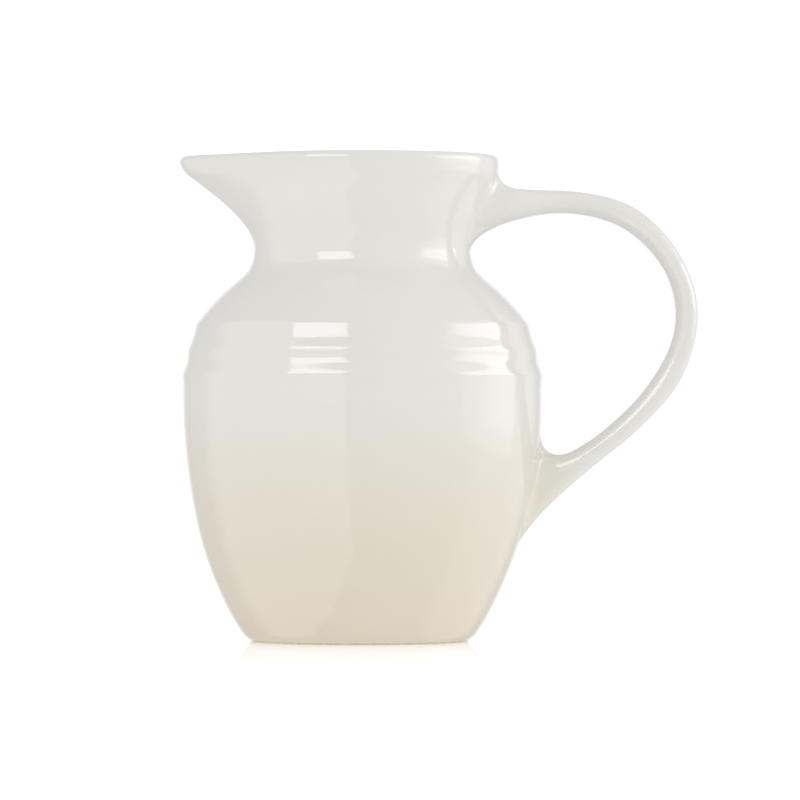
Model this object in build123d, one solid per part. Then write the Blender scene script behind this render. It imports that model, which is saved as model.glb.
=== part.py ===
from build123d import *
import math
import os

# A glazed stoneware pouring pitcher. A slip-cast clay vessel with a flat foot, a full belly,
# three soft rings on the shoulder, a narrow neck and a flared collar drawn out to a beak.
# A separately cast clay handle is luted to the collar and the belly with casting slip, and a
# glaze coats everything except the foot ring it stands on.
#
# Frame: +Z up, origin on the vessel's axis in the plane of the foot ring, beak towards -X,
# handle towards +X. All sizes are in millimetres, and outlines are (radius, height) pairs of
# the finished, glazed surface. A clay surface lies one glaze coat inside it.

RIM_HEIGHT = 200.0
RIM_RADIUS = 56.4
BEAK_REACH = 75.4
NOSE_ROUNDING = 0.07            # radians of turn over which the beak's nose is rounded

GLAZE = 0.5                     # thickness of a fired glaze coat
SLIP = 0.8                      # thickness of the slip layer that holds the handle
COLLAR_WALL = 4.4               # clay and both coats, at the neck and the rim
RIM_ROUND_OUTSIDE = 1.9
RIM_ROUND_INSIDE = 1.7

FOOT_RADIUS = 44.5              # outer edge of the flat that touches the table
FOOT_RING_WIDTH = 5.0
FOOT_RECESS = 2.0               # height of the glazed bottom above the table
FOOT_RECESS_SLOPE = 0.6         # the recess narrows by this much for each mm of its height
GLAZE_LINE = 0.9                # the outside glaze stops this far above the table
FLOOR_HEIGHT = 7.5              # finished inside floor above the table
CLEARANCE = 5.0                 # how far a cutting solid runs past what it cuts

BELLY = [(45.7, GLAZE_LINE), (47.5, 2.6), (49.1, 4.8), (53.9, 13.0), (59.7, 25.2),
         (65.5, 41.6), (70.2, 61.0), (73.1, 81.0), (73.9, 99.0), (73.8, 106.0)]
SHOULDER = [(68.2, 131.5), (63.0, 137.4), (57.0, 143.7), (51.0, 149.0), (46.7, 153.8),
            (43.8, 159.5)]      # its top lies inside the collar, which it meets at the waist
LOWER_RING = (74.4, 109.8)      # crests of the three rings
MIDDLE_RING = (71.9, 121.6)
LOWER_FLUTE = (72.5, 115.6)     # deepest points of the two flutes between them
UPPER_FLUTE = (69.4, 126.8)
RING_ROUND = 1.6

CAVITY = [(30.0, FLOOR_HEIGHT), (41.0, 8.6), (47.3, 14.0), (54.6, 27.2), (60.5, 42.6),
          (65.4, 62.0), (68.4, 81.5), (69.2, 99.0), (67.9, 115.0), (64.0, 128.0),
          (57.6, 136.9), (48.3, 145.8), (42.8, 151.5), (39.2, 158.0)]

# Height, plain radius and reach of the beak at each level of the collar. It starts below the
# waist, within the shoulder.
COLLAR = [(148.0, 44.8, 44.8), (154.0, 44.7, 44.7), (160.0, 44.5, 44.5), (164.0, 44.8, 45.0),
          (167.5, 45.5, 46.2), (172.0, 47.2, 49.0), (176.5, 49.3, 53.0), (181.0, 51.5, 57.9),
          (185.5, 53.7, 63.4), (190.0, 55.5, 69.2), (193.5, 56.3, 73.2),
          (197.0, RIM_RADIUS, 75.1), (RIM_HEIGHT, RIM_RADIUS, BEAK_REACH)]
COLLAR_POINTS = 48              # points around one level of the collar
NOSE_CROWDING = 0.6             # 0 spaces them evenly, more draws them together at the nose

# Handle sections in order from the collar round to the belly: the point on the inside of the
# loop and the point on its outside, both as (x, z), and the width across at that place. The
# first and the last lie inside the vessel's outline, so that the handle is trimmed to it.
HANDLE = [((41.0, 159.0), (49.0, 197.0), 35.0), ((47.4, 165.4), (54.3, 193.0), 34.0),
          ((53.2, 169.4), (57.8, 189.4), 29.5), ((59.2, 172.2), (61.4, 187.0), 26.0),
          ((66.0, 174.1), (66.6, 186.2), 24.0), ((74.0, 175.6), (74.2, 186.0), 23.0),
          ((84.0, 176.1), (84.6, 185.6), 22.2), ((95.5, 174.5), (97.5, 183.8), 21.8),
          ((107.0, 170.2), (111.0, 179.2), 21.4), ((117.0, 162.3), (122.6, 170.1), 21.0),
          ((124.4, 152.4), (132.2, 156.8), 20.8), ((128.3, 141.6), (137.3, 143.4), 20.6),
          ((128.8, 131.0), (138.1, 130.6), 20.4), ((126.4, 121.2), (135.6, 118.4), 20.0),
          ((121.2, 111.0), (129.8, 105.4), 19.6), ((113.4, 100.4), (120.8, 94.3), 19.2),
          ((103.2, 90.3), (109.4, 83.4), 19.0), ((92.0, 81.8), (98.0, 74.2), 19.6),
          ((84.6, 77.7), (91.0, 68.5), 21.0), ((78.4, 77.2), (86.2, 64.3), 23.6),
          ((72.0, 81.5), (81.0, 59.6), 27.0), ((60.0, 83.0), (72.4, 50.6), 31.0),
          ((48.0, 80.0), (62.4, 37.2), 33.0)]
HANDLE_POINTS = 24              # points around one section
HANDLE_EDGE = 1.3               # 1 is an oval section; more draws it to an edge at each side


def lathe(outline):
    """The solid of revolution inside an outline of edges that starts and ends on the axis."""
    return revolve(make_face(outline), Axis.Z)


def points_at(pairs, inset):
    """(radius, height) pairs, listed upwards, as points of the XZ plane moved in by inset.

    Each point moves square to the line through its neighbours. The last one moves straight
    towards the axis, so that it still meets the next stretch of the outline.
    """
    points = []
    for i, (radius, height) in enumerate(pairs[:-1]):
        below = pairs[max(i - 1, 0)]
        above = pairs[i + 1]
        run, rise = above[0] - below[0], above[1] - below[1]
        step = inset / math.hypot(run, rise)
        points.append((radius - step * rise, 0, height + step * run))
    return points + [(pairs[-1][0] - inset, 0, pairs[-1][1])]


def vessel_outside(inset):
    """Everything within the outside surface up to the waist, inset inside the finished one."""
    foot = (FOOT_RADIUS, 0, 0)
    belly = points_at(BELLY, inset)
    shoulder = points_at(SHOULDER, inset)
    lower_ring, lower_flute, middle_ring, upper_flute = [
        (radius - inset, 0, height)
        for radius, height in (LOWER_RING, LOWER_FLUTE, MIDDLE_RING, UPPER_FLUTE)]
    outline = [
        Line((0, 0, 0), foot),
        Line(foot, belly[0]),
        Spline(*belly),
        Line(belly[-1], lower_ring),
        ThreePointArc(lower_ring, lower_flute, middle_ring),
        ThreePointArc(middle_ring, upper_flute, shoulder[0]),
        Spline(*shoulder, tangents=[(-1, 0, 1.1), (-0.4, 0, 1)]),
        Line(shoulder[-1], (0, 0, shoulder[-1][2])),
        Line((0, 0, shoulder[-1][2]), (0, 0, 0)),
    ]
    body = lathe(outline)
    crests = [e for e in body.edges().filter_by(GeomType.CIRCLE)
              if LOWER_RING[1] - 1 < e.center().Z < SHOULDER[0][1] + 1]
    return fillet(crests, RING_ROUND)


def collar_level(height, radius, reach, inset):
    """One level of the collar: a circle whose side towards -X is drawn out to a rounded nose.

    Two straight flanks touch the circle and meet at the nose, as when a thumb and finger
    pull the rim out. Scaling the outline moves the circle and the flanks in by the inset.
    """
    scale = 1 - inset / radius
    touch = math.acos(min(1.0, radius / reach)) + NOSE_ROUNDING
    points = []
    for i in range(COLLAR_POINTS):
        # Angles are measured from the nose, and the points lie closer together beside it.
        turn = 2 * math.pi * i / COLLAR_POINTS
        angle = turn - NOSE_CROWDING * math.sin(turn)
        from_nose = math.hypot(min(angle, 2 * math.pi - angle), NOSE_ROUNDING)
        distance = scale * radius / math.cos(max(0.0, touch - from_nose))
        points.append((-distance * math.cos(angle), -distance * math.sin(angle), height))
    return closed_curve(points)


def closed_curve(points):
    """A smooth closed wire through points, which every section of a loft numbers alike."""
    steps = [i / len(points) for i in range(len(points) + 1)]
    return Wire([Edge.make_spline(points, periodic=True, parameters=steps)])


def collar(inset, top):
    """Everything within the collar's surface moved in by inset, from the shoulder to the top."""
    levels = [collar_level(min(height, top), radius, reach, inset)
              for height, radius, reach in COLLAR]
    return Solid.make_loft(levels)


def outside(inset):
    """The whole vessel's outside as one full solid, inset inside the finished surface."""
    return vessel_outside(inset) + collar(inset, RIM_HEIGHT - inset)


def hollow(outset):
    """The space inside the vessel, outset into the wall, and a little more above the rim."""
    wall = points_at(CAVITY, -outset)
    floor = (0, 0, wall[0][2])
    top = (0, 0, wall[-1][2])
    outline = [
        Line(floor, wall[0]),
        Spline(*wall, tangents=[(1, 0, 0), (-0.5, 0, 1)], tangent_scalars=[0.5, 0.5]),
        Line(wall[-1], top),
        Line(top, floor),
    ]
    mouth = collar(COLLAR_WALL - outset, RIM_HEIGHT)
    above = extrude(mouth.faces().sort_by(Axis.Z)[-1], CLEARANCE)
    return lathe(outline) + mouth + above


def rounded_wall(wall, inset):
    """The vessel's wall with both edges of its flat rim rounded over."""
    rim = wall.faces().sort_by(Axis.Z)[-1].edges().sort_by(SortBy.LENGTH)
    wall = fillet(rim[-1], RIM_ROUND_OUTSIDE - inset)
    rim = wall.faces().sort_by(Axis.Z)[-1].edges().sort_by(SortBy.LENGTH)
    return fillet(rim[0], RIM_ROUND_INSIDE - inset)


def foot_recess(low, high):
    """The shallow hollow under the foot between two heights, a disc with a sloping edge."""
    slope = FOOT_RECESS_SLOPE
    radius = FOOT_RADIUS - FOOT_RING_WIDTH
    outline = [
        Line((0, 0, low), (radius - slope * low, 0, low)),
        Line((radius - slope * low, 0, low), (radius - slope * high, 0, high)),
        Line((radius - slope * high, 0, high), (0, 0, high)),
        Line((0, 0, high), (0, 0, low)),
    ]
    return lathe(outline)


def handle_section(inner, outer, width, inset):
    """One closed section of the handle: an oval drawn to a soft edge at each side."""
    inner, outer = Vector(inner[0], 0, inner[1]), Vector(outer[0], 0, outer[1])
    middle = (inner + outer) / 2
    across = (outer - inner).normalized()
    half_thickness = (outer - inner).length / 2 - inset
    half_width = width / 2 - inset
    points = []
    for i in range(HANDLE_POINTS):
        turn = 2 * math.pi * i / HANDLE_POINTS
        lift = math.copysign(abs(math.sin(turn)) ** HANDLE_EDGE, math.sin(turn))
        points.append(middle + across * (half_thickness * lift)
                      + Vector(0, half_width * math.cos(turn), 0))
    return closed_curve(points)


def whole_handle(inset):
    """The handle's loop, its surface inset inside the finished one, before it is trimmed."""
    return Solid.make_loft([handle_section(*section, inset) for section in HANDLE])


def pitcher():
    """Every piece of the pitcher by its node's name."""
    glazed_outside = outside(0)
    slip_outside = outside(GLAZE - SLIP)
    clay_outside = outside(GLAZE)
    glazed_wall = rounded_wall(glazed_outside - hollow(0), 0)
    clay_wall = rounded_wall(clay_outside - hollow(GLAZE), GLAZE)
    glazed_loop = whole_handle(0)
    clay_loop = whole_handle(GLAZE)

    # The liner glaze and the outer glaze meet along the middle of the rim's flat crest.
    coat = glazed_wall - clay_wall
    liner_side = hollow((COLLAR_WALL + RIM_ROUND_INSIDE - RIM_ROUND_OUTSIDE) / 2)
    bare_foot = Cylinder(FOOT_RADIUS + CLEARANCE, GLAZE_LINE,
                         align=(Align.CENTER, Align.CENTER, Align.MIN))

    # The slip fills a thin gap between the clay of the vessel and the clay of the handle.
    slip = ((clay_loop & slip_outside) - clay_outside).solids().sort_by(Axis.Z)
    return {
        "vessel_body": clay_wall - foot_recess(0, FOOT_RECESS + GLAZE),
        "handle": clay_loop - slip_outside,
        "upper_slip_joint": slip[-1],
        "lower_slip_joint": slip[0],
        "outer_glaze": coat - liner_side - bare_foot - clay_loop,
        "inner_glaze": coat & liner_side,
        "handle_glaze": (glazed_loop - glazed_outside) - clay_loop,
        "base_glaze": foot_recess(FOOT_RECESS, FOOT_RECESS + GLAZE),
    }


if __name__ == "__main__":
    os.makedirs("parts", exist_ok=True)
    for name, piece in pitcher().items():
        export_step(piece, f"parts/{name}.step")
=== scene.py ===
import math

import bmesh
import bpy
import numpy as np
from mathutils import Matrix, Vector


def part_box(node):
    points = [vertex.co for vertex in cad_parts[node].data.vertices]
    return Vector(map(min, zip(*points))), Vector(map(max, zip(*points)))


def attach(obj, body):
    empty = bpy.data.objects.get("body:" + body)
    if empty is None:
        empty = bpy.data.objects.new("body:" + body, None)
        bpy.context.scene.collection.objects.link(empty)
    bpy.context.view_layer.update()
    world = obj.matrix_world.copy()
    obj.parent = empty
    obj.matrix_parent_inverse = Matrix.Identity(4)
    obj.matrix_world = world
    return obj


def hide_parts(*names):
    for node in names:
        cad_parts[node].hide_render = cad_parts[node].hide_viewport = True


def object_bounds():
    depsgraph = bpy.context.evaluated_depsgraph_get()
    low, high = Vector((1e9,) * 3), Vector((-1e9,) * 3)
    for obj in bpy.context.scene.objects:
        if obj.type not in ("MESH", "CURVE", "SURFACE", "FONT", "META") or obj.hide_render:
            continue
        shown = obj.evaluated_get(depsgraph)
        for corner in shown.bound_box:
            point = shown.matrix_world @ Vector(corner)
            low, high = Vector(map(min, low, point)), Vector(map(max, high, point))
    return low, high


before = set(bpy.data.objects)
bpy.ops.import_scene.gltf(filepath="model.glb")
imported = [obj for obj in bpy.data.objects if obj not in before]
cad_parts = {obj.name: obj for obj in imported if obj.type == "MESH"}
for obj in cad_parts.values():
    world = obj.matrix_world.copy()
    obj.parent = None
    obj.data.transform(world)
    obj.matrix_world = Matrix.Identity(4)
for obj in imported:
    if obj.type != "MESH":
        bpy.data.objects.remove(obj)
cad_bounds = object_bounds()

# A glazed stoneware pitcher: a turned-looking vessel whose collar is drawn out to a beak, and a
# loop handle whose two roots flow into it. Shapes are worked out in millimetres, with +Z up,
# the beak towards -X and the handle towards +X, and become metres when a mesh is made.

MM = 0.001

RIM_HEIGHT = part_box("outer_glaze")[1].z / MM
FOOT_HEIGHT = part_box("vessel_body")[0].z / MM
FIT = RIM_HEIGHT / 200.0                # outlines below are for a rim 200 mm above the table

GLAZE = 0.5                             # thickness of a glaze coat
SLIP = 0.8                              # thickness of the slip that holds the handle
LUTED_SHARE = 0.75                      # share of a root's footprint that is wetted with slip
LUTED_BRIM = 0.02                       # how much wider the room for the slip is at its mouth
WALL = 4.4                              # clay and both coats, at the neck and the rim
NOSE_ROUNDING = 0.07                    # radians of turn over which the beak's nose is rounded
NOSE_CROWDING = 0.6                     # how far the points of a level crowd towards the nose
AROUND = 256                            # points around one level of the vessel
CENTRE = 1.0                            # radius of the last level before a surface closes
SHARP_EDGE = math.radians(38)           # edges that bend more than this are shaded as sharp

# Outline of the outside as (height, radius, reach of the beak). The belly and the upper part
# are smooth curves. The rings are straight stretches whose corners are softened afterwards.
BELLY = [(0.9, 45.8), (2.4, 47.6), (4.6, 49.2), (8.6, 51.75), (16.8, 56.1), (25.1, 59.85),
         (33.3, 63.05), (41.6, 65.75), (58.0, 69.7), (74.6, 72.4), (90.0, 73.75), (99.0, 74.0),
         (105.8, 74.05)]
RINGS = [(109.7, 74.4), (115.1, 72.4), (117.1, 72.12), (119.8, 72.1), (124.6, 70.1),
         (130.8, 68.55)]
SHOULDER = [(134.4, 65.8), (138.5, 62.2), (142.6, 58.3), (146.7, 53.7), (150.4, 49.45),
            (152.9, 47.1), (155.4, 45.7), (157.9, 44.95)]
COLLAR = [(160.4, 44.6, 44.65), (164.0, 44.8, 45.0), (168.0, 45.6, 46.4), (172.0, 47.2, 49.0),
          (176.5, 49.3, 53.0), (181.0, 51.5, 57.8), (185.5, 53.7, 63.4), (190.0, 55.5, 69.2),
          (193.6, 56.25, 73.4), (197.2, 56.4, 75.24)]
OUTSIDE_PLACES = 400                    # places worked out along each smooth curve outside
OUTLINE_SPACING = 0.25                  # mm between the places kept along the whole outline
RING_SOFTNESS = 0.85                    # mm over which the corners of the rings are softened
RIM_ROUND = 2.8                         # height of the rounded crest of the rim
RIM_CREST = 12                          # row of the rim that runs along its crest
LEAN = -1.15                            # how far the foot has slumped sideways in the kiln
LEAN_HEIGHTS = (15.0, 90.0)             # heights between which the slump dies out

# Outline of the inside as (height, radius), up to the collar, which follows the outside.
CAVITY = [(7.5, 30.0), (8.6, 41.0), (14.0, 47.3), (27.2, 54.6), (42.6, 60.5), (62.0, 65.4),
          (81.5, 68.4), (99.0, 69.2), (115.0, 67.9), (128.0, 64.0), (136.9, 57.6),
          (145.8, 48.3), (151.5, 42.8), (155.5, 40.7)]
INSIDE_PLACES = 500                     # places worked out along it
FLOOR_RADII = (24.0, 16.0, 8.0, CENTRE)

# The underside as (height, radius): the clay from the middle out to the foot ring's outside,
# and the glazed disc, whose edge has crept up and thickened against the ring.
UNDERSIDE = [(2.5, 2.0), (2.5, 20.0), (2.5, 37.1), (2.0, 37.7), (0.6, 38.6), (0.18, 39.0),
             (0.0, 39.5), (0.0, 43.8), (0.15, 44.3), (0.5, 44.7)]
BASE_DISC = [(2.5, CENTRE), (2.5, 37.3), (2.2, 37.8), (1.65, 38.05), (1.85, 37.2), (2.0, 36.2),
             (2.0, 29.8), (2.0, 20.0), (2.0, CENTRE)]
GLAZE_LINE = (0.18, 0.2, 0.2)           # how far the coat's lower edge turns in, down and inwards

# How straight a stretch of outline must be to lose its rows, and how long it may get, in mm.
FINE = {"tolerance": 0.004, "longest": 2.0}
INSIDE = {"tolerance": 0.01, "longest": 3.0}
UNDER_GLAZE = {"tolerance": 0.02, "longest": 5.0}
HIDDEN = {"tolerance": 0.03, "longest": 6.0}

# The handle between its two roots, in order from the collar round to the belly: the point on
# the inside of the loop and the point on its outside as (x, z), and the width across.
LOOP = [((63.5, 173.4), (63.8, 186.6), 23.6), ((72.0, 175.3), (72.2, 186.0), 22.8),
        ((84.0, 176.1), (84.6, 185.6), 22.2), ((95.5, 174.5), (97.5, 183.8), 21.8),
        ((107.0, 170.2), (111.0, 179.2), 21.4), ((117.0, 162.3), (122.6, 170.1), 21.0),
        ((124.4, 152.4), (132.2, 156.8), 20.8), ((128.3, 141.6), (137.3, 143.4), 20.6),
        ((128.8, 131.0), (138.1, 130.6), 20.4), ((126.4, 121.2), (135.6, 118.4), 20.0),
        ((121.2, 111.0), (129.8, 105.4), 19.6), ((113.4, 100.4), (120.8, 94.3), 19.2),
        ((103.2, 90.3), (109.4, 83.4), 19.0), ((94.5, 83.4), (100.4, 76.2), 19.2),
        ((88.5, 79.6), (94.6, 71.5), 19.8)]
LOOP_POINTS = 96                        # points around one section of the handle
LOOP_ROWS = 190                         # sections along the free part of the handle
LOOP_FULLNESS = 0.56                    # 1 is an oval section; less makes its sides fuller
LOOP_SMOOTHING = 9.0                    # rows over which changes of width are evened out
ARRIS = 0.12                            # how far the ridge along a side lies outwards of centre
ROOT_ROWS = 26                          # sections from the free handle to a root's edge
# A root's lowest and highest point and half its width on the vessel, whether its outer side
# lands above (1) or below (-1), and how strongly its surface keeps its direction as it leaves
# the handle and lands on the vessel, each for the handle's outer and inner side.
UPPER_ROOT = {"low": 159.5, "high": 194.0, "half_width": 17.0, "up": 1.0,
              "leave": (0.9, 1.0), "land": (1.5, 0.9)}
LOWER_ROOT = {"low": 38.0, "high": 87.0, "half_width": 15.5, "up": -1.0,
              "leave": (1.0, 1.8), "land": (0.7, 1.8)}
ROOT_DIP = 0.05                         # how far a root's edge sinks under the vessel's glaze
ROOT_TUCK = 0.25                        # how far that edge runs on outwards as it sinks
ROOT_BEYOND = 1.02                      # size of the oval that a root's surface heads for
SLIP_SHARES = (0.07, 0.35, 0.7)         # ovals inside a slip joint, as shares of its size
SLIP_TOP = 0.99                         # share of its size that is left at its top edge
LUTED_SHARES = (0.5, 0.25, 0.05)        # ovals inside a luted face, as shares of the footprint


# ---------------------------------------------------------------- outlines and surfaces

def natural_spline(points, count):
    """A cubic spline through points, as count places evenly spaced along it."""
    points = np.array(points, float)
    steps = np.linalg.norm(np.diff(points, axis=0), axis=1)
    knots = np.concatenate([[0.0], np.cumsum(steps)])
    n = len(points)
    matrix = np.zeros((n, n))
    matrix[0, 0] = matrix[-1, -1] = 1.0
    right = np.zeros_like(points)
    for i in range(1, n - 1):
        before, after = steps[i - 1], steps[i]
        matrix[i, i - 1:i + 2] = before, 2 * (before + after), after
        right[i] = 6 * ((points[i + 1] - points[i]) / after - (points[i] - points[i - 1]) / before)
    bend = np.linalg.solve(matrix, right)
    where = np.linspace(0, knots[-1], count)
    k = np.clip(np.searchsorted(knots, where, side="right") - 1, 0, n - 2)
    step = steps[k][:, None]
    b = (where[:, None] - knots[k][:, None]) / step
    a = 1 - b
    return (a * points[k] + b * points[k + 1]
            + ((a ** 3 - a) * bend[k] + (b ** 3 - b) * bend[k + 1]) * step ** 2 / 6)


def evenly(points, spacing):
    """Points resampled along their polyline at about the given spacing."""
    points = np.array(points, float)
    along = np.concatenate([[0.0], np.cumsum(np.linalg.norm(np.diff(points, axis=0), axis=1))])
    count = max(2, int(round(along[-1] / spacing)) + 1)
    where = np.linspace(0, along[-1], count)
    return np.column_stack([np.interp(where, along, column) for column in points.T])


def softened(points, spacing, softness):
    """Points blurred along their line by softness, with both ends kept where they are."""
    reach = int(math.ceil(3 * softness / spacing))
    weights = np.exp(-0.5 * (np.arange(-reach, reach + 1) * spacing / softness) ** 2)
    weights /= weights.sum()
    before = 2 * points[0] - points[reach:0:-1]
    after = 2 * points[-1] - points[-2:-reach - 2:-1]
    padded = np.vstack([before, points, after])
    return np.column_stack([np.convolve(column, weights, "valid") for column in padded.T])


def round_rows(pairs):
    """(height, radius) pairs as rows of height, radius and reach, with no beak."""
    return [(height, radius, radius) for height, radius in pairs]


def outside_rows():
    """Rows of height, radius and reach up the outside, from the glaze line to the crest."""
    upper = natural_spline(round_rows(SHOULDER) + COLLAR, OUTSIDE_PLACES)
    belly = natural_spline(round_rows(BELLY), OUTSIDE_PLACES)
    rows = evenly(np.vstack([belly, round_rows(RINGS), upper]), OUTLINE_SPACING)
    return softened(rows, OUTLINE_SPACING, RING_SOFTNESS)


def rim_rows():
    """Rows over the rim's crest, from the top of the outside to the top of the inside."""
    height, radius, reach = COLLAR[-1]
    rows = []
    for turn in np.linspace(0, math.pi, 2 * RIM_CREST + 1):
        inset = WALL / 2 * (1 - math.cos(turn))
        rows.append((height + RIM_ROUND * math.sin(turn), radius - inset,
                     reach * (1 - inset / radius)))
    return np.array(rows)


def inside_rows():
    """Rows down the inside, from the top of the inside to the middle of the floor."""
    collar = [(height, radius - WALL, reach * (1 - WALL / radius))
              for height, radius, reach in COLLAR]
    wall = natural_spline(round_rows(CAVITY) + collar, INSIDE_PLACES)[::-1]
    bottom = [(CAVITY[0][0], radius) for radius in FLOOR_RADII]
    return np.vstack([wall, round_rows(bottom)])


def thinned(rows, tolerance, longest):
    """Rows left out where the line stays straight within tolerance, for a lighter mesh."""
    kept = [0]
    i = 0
    while i < len(rows) - 1:
        last = i + 1
        for j in range(i + 2, len(rows)):
            chord = rows[j] - rows[i]
            length = np.linalg.norm(chord)
            if length > longest:
                break
            between = rows[i + 1:j] - rows[i]
            beside = between - np.outer(between @ chord / length ** 2, chord)
            if np.linalg.norm(beside, axis=1).max() > tolerance:
                break
            last = j
        kept.append(last)
        i = last
    return rows[kept]


def moved_in(rows, depth):
    """Rows moved into the wall by depth, square to the outline of radius and height."""
    run = np.gradient(rows[:, 1])
    rise = np.gradient(rows[:, 0])
    length = np.hypot(run, rise)
    height = rows[:, 0] + depth * run / length
    radius = rows[:, 1] - depth * rise / length
    reach = rows[:, 2] * radius / rows[:, 1]
    return np.column_stack([height, radius, reach])


def slump(height):
    """How far the vessel's middle lies off its axis at a height."""
    low, high = LEAN_HEIGHTS
    share = np.clip((high - height) / (high - low), 0.0, 1.0)
    return LEAN * share * share * (3 - 2 * share)


def level(height, radius, reach):
    """One level of the vessel: a circle whose side towards -X is drawn out to a rounded nose."""
    turn = 2 * math.pi * np.arange(AROUND) / AROUND
    angle = turn - NOSE_CROWDING * np.sin(turn)
    touch = math.acos(min(1.0, radius / reach)) + NOSE_ROUNDING
    from_nose = np.hypot(np.minimum(angle, 2 * math.pi - angle), NOSE_ROUNDING)
    distance = radius / np.cos(np.maximum(0.0, touch - from_nose))
    return np.column_stack([slump(height) - distance * np.cos(angle), -distance * np.sin(angle),
                            np.full(AROUND, height)])


def mesh_of_rings(name, rings, closed=False, first_cap=False, last_cap=False):
    """An object of quads through rings of points in mm, all with the same count."""
    mesh = bpy.data.meshes.new(name)
    bm = bmesh.new()
    rows = [[bm.verts.new(Vector(point) * (MM * FIT)) for point in ring] for ring in rings]
    pairs = list(zip(rows, rows[1:]))
    if closed:
        pairs.append((rows[-1], rows[0]))
    for low, high in pairs:
        for i in range(len(low)):
            j = (i + 1) % len(low)
            bm.faces.new((low[i], low[j], high[j], high[i]))
    for wanted, row in ((first_cap, rows[0]), (last_cap, rows[-1])):
        if wanted:
            middle = bm.verts.new(sum((v.co for v in row), Vector()) / len(row))
            for i in range(len(row)):
                bm.faces.new((row[i], row[(i + 1) % len(row)], middle))
    bmesh.ops.recalc_face_normals(bm, faces=bm.faces)
    for face in bm.faces:
        face.smooth = True
    for edge in bm.edges:
        edge.smooth = edge.calc_face_angle(0.0) <= SHARP_EDGE
    bm.to_mesh(mesh)
    bm.free()
    piece = bpy.data.objects.new(name, mesh)
    bpy.context.scene.collection.objects.link(piece)
    return piece


def vessel_rings(rows):
    """The vessel's levels for rows of height, radius and reach."""
    return [level(*row) for row in rows]


# ---------------------------------------------------------------- the vessel's pieces

def outer_glaze():
    """The outside coat, a thin closed shell from the foot's glaze line to the rim's crest."""
    skin = thinned(np.vstack([outside_rows(), rim_rows()[1:RIM_CREST + 1]]), **FINE)
    back = thinned(moved_in(skin, GLAZE), **HIDDEN)[::-1]
    lip = skin[:1] - GLAZE_LINE
    return mesh_of_rings("outer_glaze_coat", vessel_rings(np.vstack([lip, skin, back])),
                         closed=True)


def inner_glaze():
    """The poured coat inside, a thin closed shell from the rim's crest to the floor."""
    skin = thinned(np.vstack([rim_rows()[RIM_CREST:], inside_rows()[1:]]), **INSIDE)
    back = thinned(moved_in(skin, GLAZE), **HIDDEN)[::-1]
    back[:, 1:] = np.maximum(back[:, 1:], CENTRE)
    return mesh_of_rings("liner_glaze_coat", vessel_rings(np.vstack([back, skin])),
                         first_cap=True, last_cap=True)


def clay_vessel():
    """The clay under the coats, bare at the ring it stands on."""
    skin = np.vstack([outside_rows(), rim_rows()[1:-1], inside_rows()])
    clay = moved_in(thinned(skin, **UNDER_GLAZE), GLAZE)
    clay[:, 1:] = np.maximum(clay[:, 1:], CENTRE)
    rows = np.vstack([round_rows(UNDERSIDE), clay])
    return mesh_of_rings("clay_vessel", vessel_rings(rows), first_cap=True, last_cap=True)


def base_glaze():
    """The glazed disc in the recess under the foot."""
    return mesh_of_rings("base_glaze_disc", vessel_rings(round_rows(BASE_DISC)),
                         first_cap=True, last_cap=True)


# ---------------------------------------------------------------- the handle's pieces

SKIN_LINE = outside_rows()
SKIN_SLOPE = np.gradient(SKIN_LINE[:, 1], SKIN_LINE[:, 0])
LOOP_TURN = 2 * math.pi * np.arange(LOOP_POINTS) / LOOP_POINTS


def on_vessel(height, sideways, depth):
    """Points of the vessel's handle side at a height and sideways from XZ, depth mm inside it."""
    radius = np.interp(height, SKIN_LINE[:, 0], SKIN_LINE[:, 1])
    slope = np.interp(height, SKIN_LINE[:, 0], SKIN_SLOPE)
    turn = np.arcsin(np.clip(sideways / radius, -1, 1))
    size = np.hypot(1.0, slope)
    radius = radius - depth / size
    height = height + depth * slope / size
    return np.column_stack([slump(height) + radius * np.cos(turn), radius * np.sin(turn), height])


def footprint(root, inset, scale, depth):
    """The oval on the vessel that a root covers, or a smaller or larger oval about its middle."""
    middle = (root["low"] + root["high"]) / 2
    half_height = (root["high"] - root["low"]) / 2 - inset
    height = middle + root["up"] * half_height * scale * np.sin(LOOP_TURN)
    sideways = (root["half_width"] - inset) * scale * np.cos(LOOP_TURN)
    return on_vessel(height, sideways, depth)


def loop_rings(inset):
    """Rings of the free part of the handle, from the collar's end to the belly's."""
    inner_stations, outer_stations, widths = zip(*LOOP)
    inner = natural_spline(inner_stations, LOOP_ROWS)
    outer = natural_spline(outer_stations, LOOP_ROWS)
    share = np.linspace(0, 1, LOOP_ROWS)
    steps = np.linalg.norm(np.diff(outer_stations, axis=0), axis=1)
    places = np.concatenate([[0.0], np.cumsum(steps)])
    width = np.interp(share, places / places[-1], widths)
    width = softened(width[:, None], 1.0, LOOP_SMOOTHING)[:, 0]
    sine, cosine = np.sin(LOOP_TURN), np.cos(LOOP_TURN)
    aside = np.copysign(np.abs(cosine) ** LOOP_FULLNESS, cosine)
    rings = []
    for i in range(LOOP_ROWS):
        middle = (inner[i] + outer[i]) / 2
        across = outer[i] - inner[i]
        thickness = np.linalg.norm(across)
        across = across / thickness
        arris = ARRIS * math.sin(math.pi * share[i]) * cosine ** 2
        lifted = (thickness / 2 - inset) * (sine + arris)
        rings.append(np.column_stack([middle[0] + across[0] * lifted,
                                      (width[i] / 2 - inset) * aside,
                                      middle[1] + across[1] * lifted]))
    return rings


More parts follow.
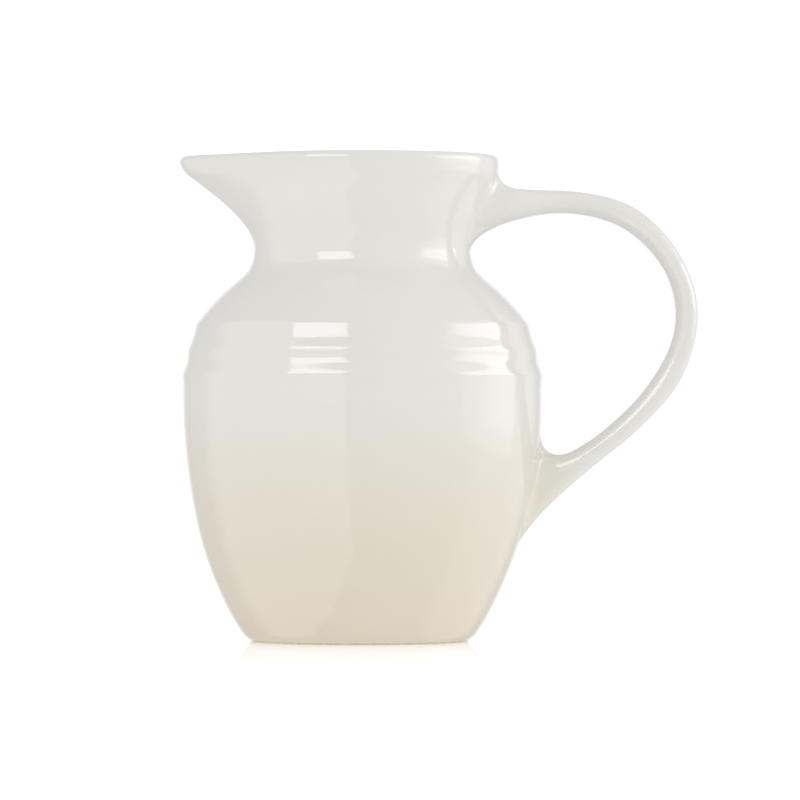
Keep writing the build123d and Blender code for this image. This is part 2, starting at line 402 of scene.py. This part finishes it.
def root_rings(root, start, before_start, inset, edge_depth):
    """Rings from the end of the free handle to its footprint, flowing into both."""
    landing = footprint(root, inset, 1.0, inset)
    spread = footprint(root, inset, ROOT_BEYOND, inset) - landing
    spread /= np.linalg.norm(spread, axis=1)[:, None]
    onward = start - before_start
    onward /= np.linalg.norm(onward, axis=1)[:, None]
    gap = np.linalg.norm(landing - start, axis=1)[:, None]
    outer_share = ((1 + np.sin(LOOP_TURN)) / 2)[:, None]
    leave = root["leave"][0] * outer_share + root["leave"][1] * (1 - outer_share)
    land = root["land"][0] * outer_share + root["land"][1] * (1 - outer_share)
    rings = []
    for u in np.linspace(0, 1, ROOT_ROWS)[1:]:
        rings.append((2 * u ** 3 - 3 * u ** 2 + 1) * start
                     + (u ** 3 - 2 * u ** 2 + u) * gap * leave * onward
                     + (3 * u ** 2 - 2 * u ** 3) * landing
                     + (u ** 3 - u ** 2) * gap * land * spread)
    rings.append(footprint(root, inset - ROOT_TUCK, 1.0, inset + edge_depth))
    return rings


def handle_rings(inset, edge_depth):
    """All rings of the handle, from its footprint on the collar to that on the belly."""
    loop = loop_rings(inset)
    upper = root_rings(UPPER_ROOT, loop[0], loop[1], inset, edge_depth)
    lower = root_rings(LOWER_ROOT, loop[-1], loop[-2], inset, edge_depth)
    return upper[::-1] + loop + lower


def luted_face(root):
    """Rings across a root's underside, inwards from its edge, leaving room for the slip."""
    brim = footprint(root, GLAZE, LUTED_SHARE + LUTED_BRIM, GLAZE)
    return [brim] + [footprint(root, GLAZE, scale, GLAZE - SLIP)
                     for scale in (LUTED_SHARE,) + LUTED_SHARES]


def slip_joint(name, root):
    """The slip that holds a root: an oval layer on the vessel's clay."""
    low = [footprint(root, GLAZE, LUTED_SHARE * share, GLAZE) for share in SLIP_SHARES + (1.0,)]
    high = [footprint(root, GLAZE, LUTED_SHARE * share, GLAZE - SLIP)
            for share in (SLIP_TOP,) + SLIP_SHARES[::-1]]
    return mesh_of_rings(name, low + high, first_cap=True, last_cap=True)


def handle_glaze():
    """The handle's own coat, a thin closed shell that ends just under the vessel's coat."""
    skin = handle_rings(0.0, ROOT_DIP)
    back = handle_rings(GLAZE, 0.0)[::-1]
    return mesh_of_rings("handle_glaze_coat", skin + back, closed=True)


def clay_handle():
    """The clay handle under its coat."""
    rings = luted_face(UPPER_ROOT)[::-1] + handle_rings(GLAZE, 0.0) + luted_face(LOWER_ROOT)
    return mesh_of_rings("clay_handle", rings, first_cap=True, last_cap=True)


# ---------------------------------------------------------------- materials

def joined(tree, source, socket):
    """Links a node's output to a socket, or sets the socket to a plain value."""
    if isinstance(source, bpy.types.NodeSocket):
        tree.links.new(source, socket)
    else:
        socket.default_value = source


def set_stops(ramp_node, stops):
    """Gives a colour ramp its (position, colour) stops."""
    elements = ramp_node.color_ramp.elements
    while len(elements) < len(stops):
        elements.new(0.5)
    for element, (position, colour) in zip(elements, stops):
        element.position = position
        element.color = colour


def linear(red, green, blue):
    """A colour given as it looks on a screen, 0 to 255, as the light it stands for."""
    parts = [value / 255 for value in (red, green, blue)]
    return [part / 12.92 if part <= 0.04045 else ((part + 0.055) / 1.055) ** 2.4
            for part in parts] + [1.0]


class Nodes:
    """A material's node tree, with short ways to add the nodes that are used here."""

    def __init__(self, name):
        self.material = bpy.data.materials.new(name)
        self.material.use_nodes = True
        self.tree = self.material.node_tree
        self.tree.nodes.clear()

    def add(self, kind, inputs=(), **settings):
        node = self.tree.nodes.new(kind)
        for key, value in settings.items():
            setattr(node, key, value)
        for key, value in dict(inputs).items():
            joined(self.tree, value, node.inputs[key])
        return node

    def math(self, operation, *values):
        node = self.add("ShaderNodeMath", dict(enumerate(values)), operation=operation)
        return node.outputs[0]

    def place(self):
        """The point's place in the pitcher's own frame, in metres."""
        return self.add("ShaderNodeTexCoord").outputs["Object"]

    def from_axis(self):
        """The point's distance from the vessel's axis, in metres."""
        parts = self.add("ShaderNodeSeparateXYZ", {0: self.place()})
        squares = [self.math("MULTIPLY", parts.outputs[axis], parts.outputs[axis])
                   for axis in ("X", "Y")]
        return self.math("SQRT", self.math("ADD", *squares))

    def noise(self, scale, detail, roughness=0.5):
        node = self.add("ShaderNodeTexNoise", {"Vector": self.place(), "Scale": scale,
                                               "Detail": detail, "Roughness": roughness})
        return node.outputs["Fac"]

    def spread(self, value, low, high):
        """A value from 0 to 1 spread over low to high."""
        node = self.add("ShaderNodeMapRange", {"Value": value, "To Min": low, "To Max": high})
        return node.outputs["Result"]

    def bump(self, height, distance):
        node = self.add("ShaderNodeBump", {"Height": height, "Distance": distance,
                                           "Strength": 1.0})
        return node.outputs["Normal"]

    def ramp(self, factor, stops, interpolation="EASE"):
        node = self.add("ShaderNodeValToRGB", {"Fac": factor})
        node.color_ramp.interpolation = interpolation
        set_stops(node, stops)
        return node.outputs["Color"]

    def mix(self, factor, first, second, blend_type="MIX"):
        node = self.add("ShaderNodeMix", data_type="RGBA", blend_type=blend_type)
        for key, value in ((0, factor), (6, first), (7, second)):    # the sockets for colours
            joined(self.tree, value, node.inputs[key])
        return node.outputs[2]

    def finish(self, shader):
        self.add("ShaderNodeOutputMaterial", {"Surface": shader})
        return self.material


WHITE_GLAZE = linear(227, 226, 221)
# Painted light: the neck's glaze made lighter than the coat, standing in for light bounced about
# the neck
PAINTED_LIGHT_NECK_GLAZE = linear(231, 230, 225)
# Height in mm and colour of the sprayed coat at that height, from the foot up; stops from 146 mm
# to the rim are painted light, lighter than the coat.
SPRAYED_WITH_PAINTED_NECK_LIGHT = [(2.0, linear(220, 208, 189)), (14.0, linear(223, 213, 194)),
           (36.0, linear(224, 216, 200)), (58.0, linear(226, 220, 205)),
           (80.0, linear(228, 224, 214)), (100.0, linear(228, 227, 220)),
           (128.0, WHITE_GLAZE), (146.0, linear(228, 227, 222)), (156.0, PAINTED_LIGHT_NECK_GLAZE),
           (182.0, PAINTED_LIGHT_NECK_GLAZE), (196.0, WHITE_GLAZE)]
DRIFT = 0.022                           # metres of height over which the spray's edge wanders
CREAM_WITHIN = (0.068, 0.092)           # metres from the axis over which the handle turns white


def sprayed_colour_with_painted_neck_light(nodes):
    """Off-white that turns to cream downwards, with the drift of a sprayed coat, and painted light
    that makes the neck lighter.
    """
    height = nodes.add("ShaderNodeSeparateXYZ", {0: nodes.place()}).outputs["Z"]
    drift = nodes.math("MULTIPLY", nodes.math("SUBTRACT", nodes.noise(9.0, 3.0), 0.5), DRIFT)
    top = SPRAYED_WITH_PAINTED_NECK_LIGHT[-1][0]
    share = nodes.math("DIVIDE", nodes.math("ADD", height, drift), top * MM)
    return nodes.ramp(share, [(stop / top, colour) for stop, colour in SPRAYED_WITH_PAINTED_NECK_LIGHT], "LINEAR")


def glaze_shader(nodes, colour):
    """A fired glossy coat of that colour, faintly mottled, with the slight wave of real glaze."""
    mottle = nodes.noise(60.0, 4.0, 0.6)
    tint = nodes.ramp(mottle, [(0.3, (0.99, 0.988, 0.984, 1)), (0.7, (1.0, 1.0, 1.0, 1))])
    base = nodes.mix(1.0, colour, tint, "MULTIPLY")
    roughness = nodes.spread(nodes.noise(35.0, 3.0), 0.055, 0.1)
    wave = nodes.bump(nodes.noise(30.0, 1.0), 0.000012)
    shader = nodes.add("ShaderNodeBsdfPrincipled", {"Base Color": base, "Roughness": roughness,
                                                    "IOR": 1.5, "Normal": wave})
    return shader.outputs[0]


def outer_glaze_material():
    """The sprayed coat of the vessel, with painted light that makes its neck lighter."""
    nodes = Nodes("sprayed_glaze_with_painted_neck_light")
    return nodes.finish(glaze_shader(nodes, sprayed_colour_with_painted_neck_light(nodes)))


def handle_glaze_material():
    """Off-white all along the handle, taking up the vessel's cream where the lower root lands and
    its neck's painted light where the upper root lands.
    """
    nodes = Nodes("handle_glaze")
    low, high = CREAM_WITHIN
    away = nodes.add("ShaderNodeMapRange", {"Value": nodes.from_axis(), "From Min": low,
                                            "From Max": high}, interpolation_type="SMOOTHSTEP")
    colour = nodes.mix(away.outputs["Result"], sprayed_colour_with_painted_neck_light(nodes), WHITE_GLAZE)
    return nodes.finish(glaze_shader(nodes, colour))


def liner_glaze_material():
    """The poured coat inside and under the foot, off-white and a little uneven."""
    nodes = Nodes("poured_liner_glaze")
    drift = nodes.ramp(nodes.noise(20.0, 3.0), [(0.2, linear(224, 223, 217)), (0.8, WHITE_GLAZE)])
    return nodes.finish(glaze_shader(nodes, drift))


def clay_material(name, dark, light):
    """Fired stoneware: warm, matt, with sand grains and small dark iron specks."""
    nodes = Nodes(name)
    body = nodes.ramp(nodes.noise(500.0, 5.0, 0.7), [(0.35, dark), (0.65, light)])
    specks = nodes.add("ShaderNodeTexVoronoi", {"Vector": nodes.place(), "Scale": 1400.0})
    speck = nodes.math("LESS_THAN", specks.outputs["Distance"], 0.12)
    colour = nodes.mix(nodes.math("MULTIPLY", speck, 0.35), body, linear(120, 96, 72))
    grain = nodes.bump(nodes.noise(2600.0, 4.0, 0.7), 0.00006)
    shader = nodes.add("ShaderNodeBsdfPrincipled", {"Base Color": colour, "Roughness": 0.82,
                                                    "Normal": grain})
    return nodes.finish(shader.outputs[0])


# ---------------------------------------------------------------- camera, light and floor

CAMERA_DISTANCE = 2.4
CAMERA_HEIGHT = 0.090
SEEN_WIDTH = 0.3299                     # metres across the picture, at the pitcher's axis
OFF_MIDDLE = (-0.0160, -0.0006)         # metres from the pitcher's middle to the picture's
SENSOR = 36.0
FAR_CLIP = 100
BACKDROP = 1.1                          # brightness of the backdrop, a little over white
TABLE_RADIUS = 6.0
TABLE_CORNERS = 96
# Brightness of the room, from the camera's side at 0 to straight behind the pitcher at 1.
ROOM_LIGHT = [(0.40, 0.955), (0.84, 0.75), (0.955, 0.68), (0.985, 1.05)]


def towards(azimuth, elevation, distance):
    """A place that far from the pitcher; azimuth 0 is the camera's side, 90 the handle's."""
    a, e = math.radians(azimuth), math.radians(elevation)
    return Vector((math.sin(a) * math.cos(e), -math.cos(a) * math.cos(e), math.sin(e))) * distance


def aim(thing, target):
    """Turns a camera or a light towards a place."""
    thing.rotation_euler = (target - thing.location).to_track_quat("-Z", "Y").to_euler()


def camera():
    """A long lens that looks level at the pitcher's belly."""
    middle = (Vector(cad_bounds[0]) + Vector(cad_bounds[1])) / 2
    target = Vector((middle.x + OFF_MIDDLE[0], 0, middle.z + OFF_MIDDLE[1]))
    data = bpy.data.cameras.new("camera")
    data.sensor_width = SENSOR
    data.lens = SENSOR * CAMERA_DISTANCE / SEEN_WIDTH
    data.clip_end = FAR_CLIP
    view = bpy.data.objects.new("camera", data)
    view.location = (target.x, -CAMERA_DISTANCE, CAMERA_HEIGHT)
    aim(view, target)
    bpy.context.scene.collection.objects.link(view)
    bpy.context.scene.camera = view


def soft_light(name, azimuth, elevation, distance, width, height, brightness,
               gloss_only=True, fades=(0.0, 0.0, 0.0, 0.0)):
    """A flat soft box that faces the pitcher's middle, its brightness the light it sends out.

    A box may show in the gloss alone, as one does that is too small to light the whole room.
    Its light may fade towards its sides, each fade a share of its width or height, in the
    order right, left, bottom and top as the pitcher sees it.
    """
    data = bpy.data.lights.new(name, "AREA")
    data.shape = "RECTANGLE"
    data.size = width
    data.size_y = height
    data.energy = brightness * math.pi * width * height
    if any(fades):
        fade_sides(data, fades)
    box = bpy.data.objects.new(name, data)
    middle = Vector((0, 0, RIM_HEIGHT * MM / 2))
    box.location = middle + towards(azimuth, elevation, distance)
    aim(box, middle)
    box.visible_camera = False
    box.visible_diffuse = not gloss_only
    bpy.context.scene.collection.objects.link(box)


def fade_sides(light, fades):
    """Makes an area light weaker towards the sides that have a fade."""
    light.use_nodes = True
    tree = light.node_tree
    place = tree.nodes.new("ShaderNodeNewGeometry").outputs["Parametric"]
    parts = tree.nodes.new("ShaderNodeSeparateXYZ")
    tree.links.new(place, parts.inputs[0])
    strength = 1.0
    for axis, edge, fade in zip("XXYY", (0, 1, 0, 1), fades):
        if not fade:
            continue
        step = tree.nodes.new("ShaderNodeMapRange")
        step.interpolation_type = "SMOOTHSTEP"
        step.inputs["From Min"].default_value = edge
        step.inputs["From Max"].default_value = abs(edge - fade)
        tree.links.new(parts.outputs[axis], step.inputs["Value"])
        times = tree.nodes.new("ShaderNodeMath")
        times.operation = "MULTIPLY"
        joined(tree, strength, times.inputs[0])
        tree.links.new(step.outputs["Result"], times.inputs[1])
        strength = times.outputs[0]
    joined(tree, strength, tree.nodes["Emission"].inputs["Strength"])


def white_room():
    """Light from all round, weaker at the sides behind, with a white backdrop straight behind."""
    world = bpy.data.worlds.new("white_room")
    world.use_nodes = True
    tree = world.node_tree
    tree.nodes.clear()
    direction = tree.nodes.new("ShaderNodeTexCoord")
    parts = tree.nodes.new("ShaderNodeSeparateXYZ")
    depth = tree.nodes.new("ShaderNodeMapRange")
    depth.inputs["From Min"].default_value = -1.0
    brightness = tree.nodes.new("ShaderNodeValToRGB")
    set_stops(brightness, [(position, (grey, grey, grey, 1)) for position, grey in ROOM_LIGHT])
    backdrop = tree.nodes.new("ShaderNodeBackground")
    backdrop.inputs["Color"].default_value = (1, 1, 1, 1)
    backdrop.inputs["Strength"].default_value = BACKDROP
    room = tree.nodes.new("ShaderNodeBackground")
    path = tree.nodes.new("ShaderNodeLightPath")
    mix = tree.nodes.new("ShaderNodeMixShader")
    out = tree.nodes.new("ShaderNodeOutputWorld")
    for source, target in ((direction.outputs["Generated"], parts.inputs[0]),
                           (parts.outputs["Y"], depth.inputs["Value"]),
                           (depth.outputs["Result"], brightness.inputs["Fac"]),
                           (brightness.outputs["Color"], room.inputs["Color"]),
                           (path.outputs["Is Camera Ray"], mix.inputs[0]),
                           (room.outputs[0], mix.inputs[1]),
                           (backdrop.outputs[0], mix.inputs[2]),
                           (mix.outputs[0], out.inputs["Surface"])):
        tree.links.new(source, target)
    bpy.context.scene.world = world
    bpy.context.scene.view_settings.view_transform = "Standard"


def studio():
    """Soft boxes to the left and the right of the camera, with a white room around them."""
    soft_light("left_box", -30, 27.5, 2.0, 1.25, 0.73, 3.8)
    soft_light("left_panel", -68, -9, 2.4, 7.5, 5.9, 0.75, fades=(0.3, 0.0, 0.0, 0.0))
    soft_light("right_box", 88.5, 14.2, 1.8, 1.95, 0.84, 2.3, fades=(0.3, 0.0, 0.25, 0.0))
    soft_light("right_glow", 97, -2.5, 2.2, 1.7, 0.33, 0.7, fades=(0.4, 0.4, 0.4, 0.4))
    soft_light("right_panel", 112, -8, 2.4, 4.0, 5.4, 0.45, fades=(0.3, 0.3, 0.0, 0.0))
    soft_light("right_fill", 90, 15, 2.2, 2.0, 2.0, 0.6, gloss_only=False)
    white_room()


def floor_material():
    """White acrylic, lit from below, whose gloss fades away from the pitcher."""
    nodes = Nodes("white_table")
    nodes.material.cycles.emission_sampling = "NONE"    # its glow shows, but lights nothing
    near = nodes.add("ShaderNodeMapRange", {"Value": nodes.from_axis(), "From Min": 0.05,
                                            "From Max": 0.62, "To Min": 0.62, "To Max": 0.0})
    share = nodes.math("MULTIPLY", near.outputs["Result"],
                       nodes.add("ShaderNodeFresnel", {"IOR": 1.45}).outputs[0])
    colour = nodes.ramp(nodes.noise(30.0, 3.0), [(0.0, (0.93, 0.93, 0.93, 1)),
                                                 (1.0, (0.96, 0.96, 0.96, 1))])
    matt = nodes.add("ShaderNodeBsdfDiffuse", {"Color": colour})
    glow = nodes.add("ShaderNodeEmission", {"Color": (1, 1, 1, 1), "Strength": 0.36})
    lit = nodes.add("ShaderNodeAddShader", {0: matt.outputs[0], 1: glow.outputs[0]})
    mirror = nodes.add("ShaderNodeBsdfGlossy", {"Color": (1, 1, 1, 1), "Roughness": 0.03})
    mixed = nodes.add("ShaderNodeMixShader", {0: share, 1: lit.outputs[0],
                                              2: mirror.outputs[0]})
    return nodes.finish(mixed.outputs[0])


def floor():
    """A large round white table top in the plane the pitcher stands on."""
    mesh = bpy.data.meshes.new("table_top")
    bm = bmesh.new()
    bmesh.ops.create_circle(bm, cap_ends=True, segments=TABLE_CORNERS, radius=TABLE_RADIUS)
    bmesh.ops.translate(bm, verts=bm.verts, vec=(0, 0, FOOT_HEIGHT * MM))
    bm.to_mesh(mesh)
    bm.free()
    top = bpy.data.objects.new("table_top", mesh)
    bpy.context.scene.collection.objects.link(top)
    mesh.materials.append(floor_material())
    top.visible_glossy = False          # the glaze mirrors the soft boxes down to its foot
    top.visible_diffuse = False         # and is lit from below by the room's own brightness,
    top.visible_shadow = False          # which the table doesn't hold back


def finished(piece, material, node):
    """Gives a piece its material and its body, and hides the CAD node that it stands for."""
    piece.data.materials.append(material)
    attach(piece, "root")
    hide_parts(node)


camera()
studio()
floor()

clay = clay_material("fired_clay", linear(196, 178, 150), linear(218, 203, 178))
slip = clay_material("fired_slip", linear(205, 188, 162), linear(222, 208, 184))
liner = liner_glaze_material()
finished(outer_glaze(), outer_glaze_material(), "outer_glaze")
finished(inner_glaze(), liner, "inner_glaze")
finished(base_glaze(), liner, "base_glaze")
finished(clay_vessel(), clay, "vessel_body")
finished(handle_glaze(), handle_glaze_material(), "handle_glaze")
finished(clay_handle(), clay, "handle")
finished(slip_joint("upper_slip", UPPER_ROOT), slip, "upper_slip_joint")
finished(slip_joint("lower_slip", LOWER_ROOT), slip, "lower_slip_joint")
